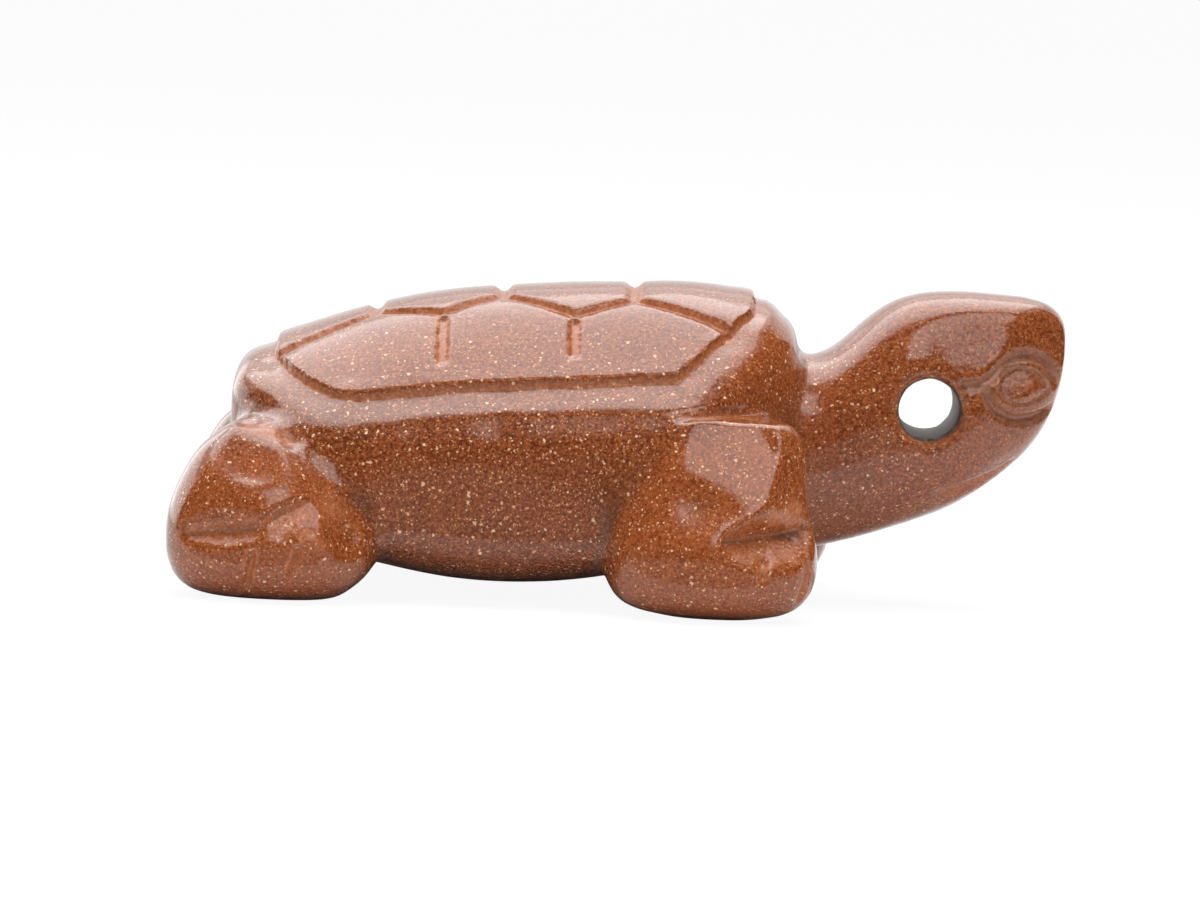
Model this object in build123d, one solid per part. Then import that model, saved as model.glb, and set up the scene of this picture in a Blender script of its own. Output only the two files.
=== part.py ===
from build123d import *
import os

# A small turtle carved from one block of copper-fleck glass, drilled across the head for a cord.
# Millimetres. The shapes below are drawn with the shell's rear end at X = 0, +X forward,
# +Y to the turtle's left and +Z up, with the soles of the four feet on Z = 0. The last step moves
# the finished carving so that the origin lies under the middle of its length and width.

# Shell
shell_length = 26.9
shell_width = 19.8
shell_height = 15.33
wall_radius = 3.0
rim_radius = 1.3
belly_radius = 1.5

# Field of scutes on top of the shell, a low step inside the rim
field_margin = 1.9
field_step = 0.35
groove_width = 0.5
groove_depth = 0.3
rim_groove_depth = 0.15

# Neck and head
head_reach = 12.9
neck_depth = 4.3
head_width = 9.4
head_height = 15.4
bore_diameter = 3.0
eye_depth = 0.3
line_width = 0.45
line_depth = 0.25

# Legs. The left front foot is carved a little ahead of the right one.
leg_width = 7.3
leg_stand_out = 2.6
front_leg_length = 10.1
front_leg_height = 9.35
hind_leg_length = 10.05
hind_leg_height = 8.3
leg_top_radius = 0.5
left_foot_lead = 1.1

# Grinding wheels that cut the wrists, ankles and toes
wheel_radius = 9.0
toe_wheel_radius = 1.7
toe_wheel_thickness = 1.3

# Tail
tail_length = 5.3
tail_width = 4.4
tail_height = 6.0

# How far a cutting shape runs past what it cuts
overrun = 1.0


def across(x):
    """The upright plane across the figure at x. Its own axes are +Y and +Z."""
    return Plane(origin=(x, 0, 0), x_dir=(0, 1, 0), z_dir=(1, 0, 0))


def oval(plane, half_width, low, waist, high, low_shares, high_shares):
    """A closed egg shape, widest at the waist. The shares say how full each half is at side and end."""
    quarters = []
    for side in (1, -1):
        for end, (side_share, end_share) in ((high, high_shares), (low, low_shares)):
            widest = (side * half_width, waist)
            side_handle = (side * half_width, waist + side_share * (end - waist))
            end_handle = (side * end_share * half_width, end)
            quarters.append(Bezier(widest, side_handle, end_handle, (0, end)))
    return plane * make_face(quarters)


# SHELL
# Each row is one section of the shell: its place along the length, then the heights of the ridge,
# of the edge where the roof ends, of the foot of the straight wall, and of the belly.
dome_shares = (
    (-0.04, 0.700, 0.470, 0.36, 0.270),
    (0.16, 0.836, 0.485, 0.36, 0.114),
    (0.33, 0.926, 0.510, 0.36, 0.040),
    (0.49, 0.967, 0.535, 0.36, 0.014),
    (0.66, 0.989, 0.560, 0.36, 0.047),
    (0.83, 1.000, 0.580, 0.37, 0.110),
    (0.94, 0.961, 0.570, 0.38, 0.145),
    (1.04, 0.795, 0.540, 0.39, 0.170),
)
# Points along one slope of the roof: share of the half width, share of the way up from edge to ridge
roof_shares = ((1.0, 0.0), (0.76, 0.37), (0.38, 0.86))
skirt_share = 1.06
flat_share = 0.6
# The wall's corners seen from above, rear to front
wall_corner_shares = ((0.0, 0.5), (0.165, 1.0), (0.832, 1.0), (1.0, 0.42))


def dome_section(shares, sunk):
    """One section of the shell. The roof lies lower by sunk."""
    place, ridge_share, edge_share, wall_share, belly_share = shares
    half_width = skirt_share * shell_width / 2
    ridge = ridge_share * shell_height - sunk
    edge = edge_share * shell_height - sunk
    wall_foot = wall_share * shell_height
    belly = belly_share * shell_height
    flat = flat_share * half_width
    slope = [(y_share * half_width, edge + z_share * (ridge - edge)) for y_share, z_share in roof_shares]
    far_slope = [(-y, z) for y, z in reversed(slope)]
    foot = (half_width, wall_foot)
    far_foot = (-half_width, wall_foot)
    outline = [
        Spline(*slope, (0, ridge), *far_slope),
        Line(slope[0], foot),
        Bezier(foot, (half_width, belly), (flat, belly), (-flat, belly), (-half_width, belly), far_foot),
        Line(far_foot, far_slope[-1]),
    ]
    return across(place * shell_length) * make_face(outline)


def dome(sunk=0):
    """The shell's roof and belly, before its wall is ground."""
    return loft([dome_section(shares, sunk) for shares in dome_shares])


def wall_plan():
    """The eight-sided plan of the shell's wall."""
    left = [(x_share * shell_length, y_share * shell_width / 2) for x_share, y_share in wall_corner_shares]
    right = [(x, -y) for x, y in reversed(left)]
    return make_face(Polyline(*left, *right, close=True))


def shell_body():
    """Roof, wall and belly, with the rim and the corners rounded."""
    wall = extrude(wall_plan(), shell_height + overrun)
    wall = fillet(wall.edges().filter_by(Axis.Z), wall_radius)
    body = dome(field_step) & wall
    body = fillet(body.faces().sort_by(Axis.Z)[-1].edges(), rim_radius)
    return fillet(body.faces().sort_by(Axis.Z)[0].edges(), belly_radius)


# Where the zigzag between the middle row of scutes and the side ones turns, as shares of the
# shell's length and half width
ridge_turn_shares = ((0.262, 0.18), (0.468, 0.22), (0.702, 0.33))
hollow_turn_shares = ((0.370, 0.41), (0.602, 0.47))
zigzag_end_shares = ((0.068, 0.42), (0.880, 0.56))
rib_end_share = 0.66


def shell_point(shares, side):
    x_share, y_share = shares
    return (x_share * shell_length, side * y_share * shell_width / 2)


def scute_lines():
    """The lines between the scutes seen from above: two zigzags, three cross lines, four ribs."""
    lines = []
    for side in (1, -1):
        turns = [zigzag_end_shares[0]]
        for ridge_turn, hollow_turn in zip(ridge_turn_shares, hollow_turn_shares):
            turns += [ridge_turn, hollow_turn]
        turns += [ridge_turn_shares[-1], zigzag_end_shares[-1]]
        corners = [shell_point(turn, side) for turn in turns]
        lines += [Line(start, end) for start, end in zip(corners, corners[1:])]
        for x_share, y_share in hollow_turn_shares:
            lines.append(Line(shell_point((x_share, y_share), side), shell_point((x_share, rib_end_share), side)))
    for turn in ridge_turn_shares:
        lines.append(Line(shell_point(turn, 1), shell_point(turn, -1)))
    return lines


def above(face):
    """A column over a face on the ground, from half the shell's height up past its top."""
    return extrude(Pos(Z=shell_height / 2) * face, shell_height / 2 + overrun)


def shell():
    """The shell with its field of scutes, its rim line and the lines between the scutes."""
    field_plan = offset(wall_plan(), -field_margin, kind=Kind.INTERSECTION).face()
    field = dome() & above(field_plan)
    scute_plan = Sketch() + [trace(line, groove_width) for line in scute_lines()]
    scute_grooves = above(scute_plan & field_plan) - dome(groove_depth)
    rim_plan = offset(field_plan, groove_width, kind=Kind.INTERSECTION).face() - field_plan
    rim_groove = above(rim_plan) - dome(field_step + rim_groove_depth)
    return shell_body() + field - scute_grooves - rim_groove


# HEAD
# Each row is one section from the neck's root to the nose: its place along the head, its share of
# the head's half width, and the heights of its underside, waist and top.
head_length = neck_depth + head_reach
head_shares = (
    (0.000, 1.106, 0.150, 0.455, 0.734),
    (0.250, 1.000, 0.148, 0.480, 0.783),
    (0.349, 0.960, 0.184, 0.519, 0.808),
    (0.436, 0.936, 0.210, 0.571, 0.896),
    (0.523, 0.915, 0.242, 0.623, 0.967),
    (0.640, 0.883, 0.292, 0.669, 0.999),
    (0.767, 0.798, 0.369, 0.714, 1.000),
    (0.872, 0.660, 0.466, 0.760, 0.995),
    (0.942, 0.532, 0.563, 0.786, 0.980),
    (0.980, 0.415, 0.660, 0.812, 0.950),
    (1.000, 0.298, 0.766, 0.851, 0.918),
)
head_low_shares = (0.5, 0.5)
head_high_shares = (0.65, 0.7)
# Places on the side of the head, as shares of its length and height
bore_shares = (0.621, 0.643)
eye_ring_shares = ((0.774, 0.716), (0.865, 0.838), (0.973, 0.714), (0.879, 0.592))
eye_shares = ((0.808, 0.727), (0.893, 0.784), (0.934, 0.712), (0.878, 0.660))
brow_shares = ((0.690, 0.725), (0.770, 0.751), (0.810, 0.800))
mouth_shares = ((0.655, 0.366), (0.775, 0.430), (0.888, 0.518))


def head_form(sunk=0):
    """The neck and head as one swelling form. All of its skin but the cut end lies lower by sunk."""
    root = shell_length - neck_depth
    sections = []
    for place, width_share, low_share, waist_share, top_share in head_shares:
        sections.append(
            oval(
                across(root + place * head_length),
                width_share * head_width / 2 - sunk,
                low_share * head_height + sunk,
                waist_share * head_height,
                top_share * head_height - sunk,
                head_low_shares,
                head_high_shares,
            )
        )
    return loft(sections)


def head_points(shares):
    """Places on the head's side seen from the turtle's right."""
    root = shell_length - neck_depth
    return [(root + x_share * head_length, z_share * head_height) for x_share, z_share in shares]


def almond(shares):
    """A pointed oval through its rear, top, front and bottom points."""
    rear, top, front, bottom = head_points(shares)
    return make_face([ThreePointArc(rear, top, front), ThreePointArc(front, bottom, rear)])


def through_head(face):
    """A face drawn on the side view, run through the head from side to side."""
    return extrude(Plane.XZ * face, head_width, both=True)


def head():
    """The neck and head with the cord hole, and with the eyes, brows and mouth cut into the skin."""
    eye_plan = almond(eye_ring_shares) - almond(eye_shares) + trace(Polyline(*head_points(brow_shares)), line_width)
    mouth_plan = trace(Spline(*head_points(mouth_shares)), line_width)
    carved = head_form() - (through_head(eye_plan) - head_form(eye_depth))
    carved -= through_head(mouth_plan) - head_form(line_depth)
    bore_x, bore_z = head_points([bore_shares])[0]
    return carved - through_head(Pos(bore_x, bore_z) * Circle(bore_diameter / 2))


# LEGS
# Each row is one level of a leg: its height, then its rear, front, inner and outer edges.
front_leg_shares = (
    (0.000, 0.285, 0.735, 0.20, 0.63),
    (0.037, 0.150, 0.860, 0.10, 0.80),
    (0.118, 0.040, 0.955, 0.04, 0.93),
    (0.267, 0.000, 1.000, 0.00, 1.00),
    (0.439, 0.020, 0.980, 0.00, 0.99),
    (0.599, 0.085, 0.940, 0.00, 0.95),
    (0.749, 0.165, 0.930, 0.00, 0.89),
    (0.898, 0.245, 0.905, 0.00, 0.81),
    (1.000, 0.315, 0.855, 0.00, 0.72),
)
hind_leg_shares = (
    (0.000, 0.240, 0.750, 0.20, 0.63),
    (0.042, 0.110, 0.850, 0.10, 0.80),
    (0.133, 0.035, 0.935, 0.05, 0.93),
    (0.301, 0.000, 1.000, 0.01, 1.00),
    (0.470, 0.005, 0.950, 0.00, 0.99),
    (0.651, 0.050, 0.815, 0.00, 0.92),
    (0.795, 0.110, 0.690, 0.00, 0.82),
    (0.916, 0.205, 0.590, 0.02, 0.71),
    (1.000, 0.285, 0.500, 0.08, 0.62),
)
leg_full_shares = (0.6, 0.6)
front_leg_place_share = 0.672
hind_leg_place_share = -0.094


def leg_form(place_share, length, height, level_shares):
    """The left leg whose rear edge is at a share of the shell's length."""
    inner = shell_width / 2 + leg_stand_out - leg_width
    levels = []
    for z_share, rear_share, front_share, inner_share, outer_share in level_shares:
        middle = place_share * shell_length + (rear_share + front_share) * length / 2
        half_length = (front_share - rear_share) * length / 2
        near = inner + inner_share * leg_width
        far = inner + outer_share * leg_width
        plane = Plane(origin=(middle, 0, z_share * height))
        levels.append(oval(plane, half_length, near, (near + far) / 2, far, leg_full_shares, leg_full_shares))
    leg = loft(levels)
    return fillet(leg.faces().sort_by(Axis.Z)[-1].edges(), leg_top_radius)


def wheel_cut(point, heading, roll, radius, rise, fall):
    """What a sharp-rimmed wheel grinds away when its rim reaches a point.

    The wheel comes in from a heading, in degrees from straight ahead towards the turtle's left, and
    rolls about that heading: 0 is a level wheel and 90 an upright one. Rise and fall are how thick
    the wheel is at its middle, above and below its rim.
    """
    profile = make_face(Polyline((0, -fall), (radius, 0), (0, rise), close=True))
    wheel = revolve(Plane.XZ * profile, Axis.Z)
    return Pos(*point) * Rot(Z=heading) * Rot(X=roll) * Pos(X=radius) * wheel


def leg_point(place_share, length, height, shares):
    """A point in the left leg's box, from shares of its length, width and height."""
    x_share, y_share, z_share = shares
    inner = shell_width / 2 + leg_stand_out - leg_width
    return (place_share * shell_length + x_share * length, inner + y_share * leg_width, z_share * height)


# Where each cut goes deepest
wrist_shares = (0.73, 0.70, 0.44)
front_toe_shares = ((0.80, 0.83, 0.33), (0.94, 0.62, 0.27))
front_toe_headings = (58, 24)
ankle_shares = (0.22, 0.84, 0.42)
hind_toe_shares = ((0.42, 0.95, 0.24), (0.62, 0.94, 0.24))
hind_toe_headings = (97, 80)


def toe_cuts(place_share, length, height, shares, headings):
    cuts = []
    for toe_shares, heading in zip(shares, headings):
        point = leg_point(place_share, length, height, toe_shares)
        cuts.append(wheel_cut(point, heading, 90, toe_wheel_radius, toe_wheel_thickness / 2, toe_wheel_thickness / 2))
    return cuts


def front_leg():
    """A broad upper arm with a wedge ground out over the paw, and two cuts between the toes."""
    box = (front_leg_place_share, front_leg_length, front_leg_height)
    wrist = wheel_cut(leg_point(*box, wrist_shares), 55, -9, wheel_radius, 1.2 * wheel_radius, 0.3 * wheel_radius)
    return leg_form(*box, front_leg_shares) - wrist - toe_cuts(*box, front_toe_shares, front_toe_headings)


def hind_leg():
    """A haunch that tapers up under the shell, with a cut over the foot and two between the toes."""
    box = (hind_leg_place_share, hind_leg_length, hind_leg_height)
    ankle = wheel_cut(leg_point(*box, ankle_shares), 105, -22, wheel_radius, 1.1 * wheel_radius, 0.5 * wheel_radius)
    return leg_form(*box, hind_leg_shares) - ankle - toe_cuts(*box, hind_toe_shares, hind_toe_headings)


# TAIL
# Each row is one section from the tail's root back to its tip: its place, width, underside and top.
tail_shares = (
    (0.00, 1.00, 0.50, 1.04),
    (0.30, 0.80, 0.44, 1.02),
    (0.60, 0.50, 0.40, 0.90),
    (0.88, 0.34, 0.42, 0.72),
    (1.00, 0.18, 0.47, 0.62),
)
tail_full_shares = (0.55, 0.55)
tail_root_share = 0.11


def tail():
    """A short tapered tail between the hind legs."""
    sections = []
    for place, width_share, low_share, top_share in tail_shares:
        low = low_share * tail_height
        top = top_share * tail_height
        plane = across(tail_root_share * shell_length - place * tail_length)
        sections.append(
            oval(plane, width_share * tail_width / 2, low, (low + top) / 2, top, tail_full_shares, tail_full_shares)
        )
    return loft(sections)


def turtle():
    """The whole carving, one solid."""
    fore = front_leg()
    hind = hind_leg()
    left = Pos(X=left_foot_lead) * fore + hind
    right = mirror(fore + hind, Plane.XZ)
    carving = shell() + head() + tail() + left + right
    box = carving.bounding_box()
    return Pos(-box.center().X, -box.center().Y, -box.min.Z) * carving


os.makedirs("parts", exist_ok=True)
carving = turtle()
export_step(carving, "parts/carved_turtle.step")
print("solids", len(carving.solids()), "volume", round(carving.volume, 1), "valid", carving.is_valid)
print("box", carving.bounding_box())
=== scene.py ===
# %% [markdown]
# # A turtle carved from copper-fleck glass
#
# The real thing is a pocket figurine about 42 mm long. A carver saws a block of brown glass full of
# copper crystals, grinds the turtle on small wheels, tumbles it until it shines, and drills a cord
# hole across the head. It is one piece, so this lesson makes one mesh and spends its effort on two
# things: how polish softens a ground shape, and how the glass sparkles under its shine.
#
# The solid model from the workshop drawing loads first. It is the frame: it says where everything is.

# %% The frame
import bmesh
import bpy
import math

import numpy as np
from mathutils import Matrix, Quaternion, Vector, kdtree, noise
from mathutils.bvhtree import BVHTree


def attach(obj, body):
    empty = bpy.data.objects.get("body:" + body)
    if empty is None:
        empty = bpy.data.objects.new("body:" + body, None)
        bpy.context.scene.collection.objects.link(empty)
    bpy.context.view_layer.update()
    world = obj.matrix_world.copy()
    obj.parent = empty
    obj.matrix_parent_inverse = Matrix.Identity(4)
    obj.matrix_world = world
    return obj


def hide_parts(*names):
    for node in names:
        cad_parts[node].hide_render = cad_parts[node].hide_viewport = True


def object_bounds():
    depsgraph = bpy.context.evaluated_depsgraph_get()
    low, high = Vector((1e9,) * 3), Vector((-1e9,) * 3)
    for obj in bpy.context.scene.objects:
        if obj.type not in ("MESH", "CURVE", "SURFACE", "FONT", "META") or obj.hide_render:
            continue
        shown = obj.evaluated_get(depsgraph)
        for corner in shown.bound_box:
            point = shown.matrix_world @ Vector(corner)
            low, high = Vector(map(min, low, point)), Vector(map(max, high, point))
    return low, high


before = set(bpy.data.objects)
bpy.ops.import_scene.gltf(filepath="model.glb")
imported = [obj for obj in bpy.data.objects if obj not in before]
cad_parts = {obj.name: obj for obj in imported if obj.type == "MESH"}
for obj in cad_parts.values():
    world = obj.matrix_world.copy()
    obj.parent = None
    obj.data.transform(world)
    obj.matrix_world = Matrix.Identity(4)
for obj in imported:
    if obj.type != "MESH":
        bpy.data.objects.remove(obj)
cad_box = [list(corner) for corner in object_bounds()]

MM = 0.001
collection = bpy.context.scene.collection
print("solid model, mm:", [[round(value / MM, 2) for value in corner] for corner in cad_box])

# %% [markdown]
# ## The camera
#
# A product photographer shoots a small figurine with a long lens from a little above the table, which
# keeps the feet, shell and nose at one scale. The camera looks along +Y at the turtle's right side.
# It leans 2.7 degrees, so the ground line falls to the right, as it does in the photograph.

# %% Camera
VIEW_UP = math.radians(5.0)
VIEW_LEAN = math.radians(2.7)
VIEW_DISTANCE = 300 * MM
VIEW_CENTRE = Vector((-0.955 * MM, 0.0, 6.93 * MM))
LENS_MM = 186.3

camera = bpy.data.objects.new("camera", bpy.data.cameras.new("camera"))
collection.objects.link(camera)
camera.data.lens = LENS_MM
camera.data.clip_start = 10 * MM
camera.data.clip_end = 20
back = Vector((0.0, -math.cos(VIEW_UP), math.sin(VIEW_UP)))
camera.location = VIEW_CENTRE + VIEW_DISTANCE * back
camera.rotation_mode = "QUATERNION"
camera.rotation_quaternion = (-back).to_track_quat("-Z", "Y") @ Quaternion((0, 0, 1), VIEW_LEAN)
bpy.context.scene.camera = camera
print("camera at", [round(value / MM, 1) for value in camera.location], "mm")

# %% [markdown]
# ## Shader maths as plain expressions
#
# A procedural finish is a long sum of masks. Written node by node it is hard to read, so one small
# class holds a socket and lets ordinary arithmetic add the Math nodes.


# %% A socket that does arithmetic
class Wire:
    """A number that changes over a surface. Sums and products of it add Math nodes."""

    def __init__(self, tree, socket):
        self.tree = tree
        self.socket = socket

    def maths(self, operation, *values):
        return self.tree.node("Math", {"operation": operation}, values)

    def __add__(self, other):
        return self.maths("ADD", self, other)

    def __sub__(self, other):
        return self.maths("SUBTRACT", self, other)

    def __rsub__(self, other):
        return self.maths("SUBTRACT", other, self)

    def __mul__(self, other):
        return self.maths("MULTIPLY", self, other)

    def clamp(self):
        return self.tree.node("Clamp", {}, [self])


class Tree:
    """A material's or world's node tree."""

    def __init__(self, owner):
        owner.use_nodes = True
        self.nodes = owner.node_tree.nodes
        self.links = owner.node_tree.links

    def node(self, kind, settings, inputs, output=0):
        """Adds a shader node. Settings are set first, then its sockets get values or wires."""
        made = self.nodes.new("ShaderNode" + kind)
        for name, value in settings.items():
            setattr(made, name, value)
        pairs = inputs.items() if isinstance(inputs, dict) else enumerate(inputs)
        for name, value in pairs:
            if isinstance(value, Wire):
                self.links.new(value.socket, made.inputs[name])
            else:
                made.inputs[name].default_value = value
        return Wire(self, made.outputs[output])

    def ramp(self, factor, stops):
        """A colour ramp through (place, colour) stops."""
        wire = self.node("ValToRGB", {}, [factor])
        elements = wire.socket.node.color_ramp.elements
        while len(elements) < len(stops):
            elements.new(0.5)
        for element, (place, colour) in zip(elements, stops):
            element.position = place
            element.color = (*colour, 1.0)
        return wire

    def step(self, value, low, high):
        """0 below low, 1 above high, with a soft step between them."""
        settings = {"interpolation_type": "SMOOTHSTEP"}
        return self.node("MapRange", settings, {"Value": value, "From Min": low, "From Max": high})

    def blend(self, factor, first, second):
        """One colour over another."""
        settings = {"data_type": "RGBA"}
        return self.node("Mix", settings, {"Factor": factor, 6: first, 7: second}, output=2)

    def use(self, node_name, sockets):
        """Puts values or wires on the sockets of a node that is already there."""
        target = self.nodes[node_name]
        for name, value in sockets.items():
            if isinstance(value, Wire):
                self.links.new(value.socket, target.inputs[name])
            else:
                target.inputs[name].default_value = value


print("a tree can", [name for name in vars(Tree) if not name.startswith("_")])

# %% [markdown]
# ## The block and its polish
#
# The packed solid has the true size and shape, but its edges are as sharp as a drawing's. A tumbled
# carving has none left. So the lesson copies the solid's mesh, remeshes it into even squares, and then
# lets every point drift to the middle of its neighbours, which is what tumbling does to an edge.
# The work is done in millimetres and scaled down at the end.

# %% An even skin over the solid
VOXEL = 0.30

solid_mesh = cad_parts["carved_turtle"].data.copy()
solid_mesh.transform(Matrix.Scale(1 / MM, 4))
cast = bpy.data.objects.new("cast", solid_mesh)
collection.objects.link(cast)
remesh = cast.modifiers.new("even skin", "REMESH")
remesh.mode = "VOXEL"
remesh.voxel_size = VOXEL
skin = bpy.data.meshes.new_from_object(cast.evaluated_get(bpy.context.evaluated_depsgraph_get()))
bpy.data.objects.remove(cast)
skin.materials.clear()
print("skin points", len(skin.vertices))


# %% Points, edges and drift
DRIFT_SHARE = 0.5


def points_of(mesh):
    points = np.empty(3 * len(mesh.vertices))
    mesh.vertices.foreach_get("co", points)
    return points.reshape(-1, 3)


def move_to(mesh, points):
    """Puts a mesh's points in new places."""
    mesh.vertices.foreach_set("co", points.ravel())


def normals_of(mesh):
    mesh.update()
    normals = np.empty(3 * len(mesh.vertices))
    mesh.vertices.foreach_get("normal", normals)
    return normals.reshape(-1, 3)


def edges_of(mesh):
    edges = np.empty(2 * len(mesh.edges), dtype=np.int32)
    mesh.edges.foreach_get("vertices", edges)
    return edges.reshape(-1, 2)


def drifted(points, edges, share, rounds):
    """Points after they drift to the middle of their neighbours, by a share of the way each round."""
    count = np.bincount(edges.ravel(), minlength=len(points))[:, None]
    share = np.broadcast_to(np.asarray(share, dtype=float), (len(points),))[:, None]
    for _ in range(rounds):
        total = np.empty_like(points)
        for axis in range(3):
            column = points[:, axis]
            total[:, axis] = np.bincount(edges[:, 0], column[edges[:, 1]], len(points))
            total[:, axis] += np.bincount(edges[:, 1], column[edges[:, 0]], len(points))
        points = points + share * (total / count - points)
    return points


def soft_step(value, low, high):
    """0 below low, 1 above high, with a soft step between them."""
    share = np.clip((value - low) / (high - low), 0, 1)
    return share * share * (3 - 2 * share)


print("skin edges", len(edges_of(skin)))

# %% [markdown]
# ## Wearing the drawing's lines away
#
# The solid has the scute lines and the eyes as plain, even channels. On the real carving each of them is
# a stroke of a small wheel, steep on one side and chipped. They are cut again below, so here the
# drift is strong inside the field of scutes, round the eyes and where the limbs run into the side, and
# light everywhere else.

# %% Strong and light polish
FIELD_REAR, FIELD_FRONT, FIELD_HALF_WIDTH = -16.3, 5.9, 7.45
FIELD_CORNERS = ((FIELD_REAR, 3.9), (-13.2, FIELD_HALF_WIDTH), (2.3, FIELD_HALF_WIDTH), (FIELD_FRONT, 2.6))
FIELD_BORDER = 0.5
ROOF_FLOOR = 8.6
WORN_PLACES = {
    "face": ((18.6, 10.9), 3.1),
    "mouth": ((17.2, 6.7), 2.7),
    "thigh": ((-13.7, 6.2), 2.0),
    "armpit": ((0.9, 6.0), 2.4),
}
CORE_SHARE = 0.7
HEAD_FROM = 9.0
SIDE_FACING = (0.45, 0.75)
WEAR_ROUNDS = 34
POLISH_ROUNDS = 5


def inside_field(points):
    """How far inside the field of scutes a point is, in mm, negative outside it."""
    x, y = points[:, 0], np.abs(points[:, 1])
    depth = np.minimum(x - FIELD_REAR, FIELD_FRONT - x)
    for (x0, y0), (x1, y1) in zip(FIELD_CORNERS, FIELD_CORNERS[1:]):
        run = math.hypot(x1 - x0, y1 - y0)
        depth = np.minimum(depth, ((x - x0) * (y1 - y0) - (y - y0) * (x1 - x0)) / run)
    return depth


def near_side_places(points, places):
    """1 near a place on the side view, 0 outside them all. Each place has a centre and a radius."""
    shares = []
    for (x, z), radius in places.values():
        away = np.hypot(points[:, 0] - x, points[:, 2] - z)
        shares.append(1 - soft_step(away, CORE_SHARE * radius, radius))
    return np.max(shares, axis=0)


points = points_of(skin)
edges = edges_of(skin)
worn = soft_step(inside_field(points), 0.0, FIELD_BORDER) * (points[:, 2] > ROOF_FLOOR)
worn = np.maximum(worn, near_side_places(points, WORN_PLACES))
behind_head = soft_step(points[:, 0], HEAD_FROM, HEAD_FROM - 1)
worn *= soft_step(np.abs(normals_of(skin)[:, 1]) + behind_head, *SIDE_FACING)
points = drifted(points, edges, DRIFT_SHARE * worn, WEAR_ROUNDS)
points = drifted(points, edges, DRIFT_SHARE, POLISH_ROUNDS)
print("points worn smooth", int((worn > 0.5).sum()))

# %% [markdown]
# ## Flats
#
# A carver takes the big shapes down on a flat wheel before any line is cut, and some of those flats
# survive the polish: beside the snout, down each leg and on top of the toes. They matter because a
# flat shows one whole reflection, where a round form shows a sliver of it. A flat is a plane here.
# Every point near it that stands proud of it is moved back onto it. The arm and the side of the head
# are tumbled a little more after that, so their flats run softly into the round forms.


# %% Grinding flats
LEFT_FOOT_LEAD = 1.1


def on_left(place, lead=0.0):
    """The mirror image of a place or a direction on the left side, moved ahead by the lead."""
    return np.array(place) * (1, -1, 1) + (lead, 0, 0)


def ground_flat(points, centre, facing, depth, reach, soft):
    """Moves what stands proud of a plane back onto it. The plane lies depth below the centre."""
    facing = np.array(facing) / np.linalg.norm(facing)
    away = points - np.array(centre)
    proud = away @ facing + depth
    weight = 1 - soft_step(np.linalg.norm(away, axis=1), reach - soft, reach)
    return points - (np.clip(proud, 0, None) * weight)[:, None] * facing


# Each flat is a place on the right side, the way it faces, its depth, reach and soft border.
FRONT_LEG_FLATS = (
    ((4.7, -11.25, 7.8), (0.065, -0.887, 0.457), 0.70, 3.6, 1.0),
    ((3.6, -11.60, 6.6), (-0.08, -1.0, 0.12), 0.56, 3.4, 3.0),
    ((7.9, -10.45, 7.3), (0.76, -0.63, 0.14), 0.34, 3.0, 1.0),
    ((8.2, -10.7, 3.95), (0.30, -0.30, 0.90), 0.22, 1.3, 0.4),
    ((6.35, -12.25, 2.95), (0.23, -0.92, 0.31), 0.05, 0.7, 0.2),
)
HIND_LEG_FLATS = (
    ((-16.9, -10.6, 7.25), (-0.05, -0.76, 0.65), 0.34, 2.6, 1.0),
    ((-12.9, -11.3, 3.2), (0.72, -0.60, 0.34), 0.10, 1.6, 0.8),
)
HEAD_FLATS = (
    ((16.9, -3.26, 12.8), (0.182, -0.939, 0.292), 0.14, 2.9, 0.8),
    ((18.9, -2.59, 12.9), (0.463, -0.872, 0.159), 0.08, 2.4, 0.8),
    ((16.71, -3.84, 10.42), (0.165, -0.95, 0.27), 0.36, 0.8, 0.2),
)

SOFTENED_PLACES = {"arm": ((4.6, 6.4), 2.5), "temple": ((15.6, 12.7), 2.0)}
SOFTENED_ELSEWHERE = 0.1
SOFTENING_ROUNDS = 8

for flats, lead in ((FRONT_LEG_FLATS, LEFT_FOOT_LEAD), (HIND_LEG_FLATS + HEAD_FLATS, 0.0)):
    for centre, facing, *size in flats:
        points = ground_flat(points, centre, facing, *size)
        points = ground_flat(points, on_left(centre, lead), on_left(facing), *size)
softened = near_side_places(points, SOFTENED_PLACES)
points = drifted(points, edges, DRIFT_SHARE * softened + SOFTENED_ELSEWHERE, SOFTENING_ROUNDS)
move_to(skin, points)
flat_count = 2 * len(FRONT_LEG_FLATS + HIND_LEG_FLATS + HEAD_FLATS)
print("flats", flat_count, "points softened", int((softened > 0.5).sum()))

# %% [markdown]
# ## Wheel strokes
#
# Every line on the figure is one pass of a thin wheel. Here a stroke is a route drawn on the plan or on
# the side view, laid on the skin with rays, and a cross section: pairs of an offset from the route and a
# depth. A steep side and a gentle side make the lines catch light as ground ones do. Random wobble of
# the offset chips the edges, because glass flakes where a wheel leaves it.

# %% Routes laid on the skin
STROKE_STEP = 0.09
BEND_STEPS = 20
RAY_START = 60.0
skin_tree = BVHTree.FromPolygons(points.tolist(), [list(face.vertices) for face in skin.polygons])


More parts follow.
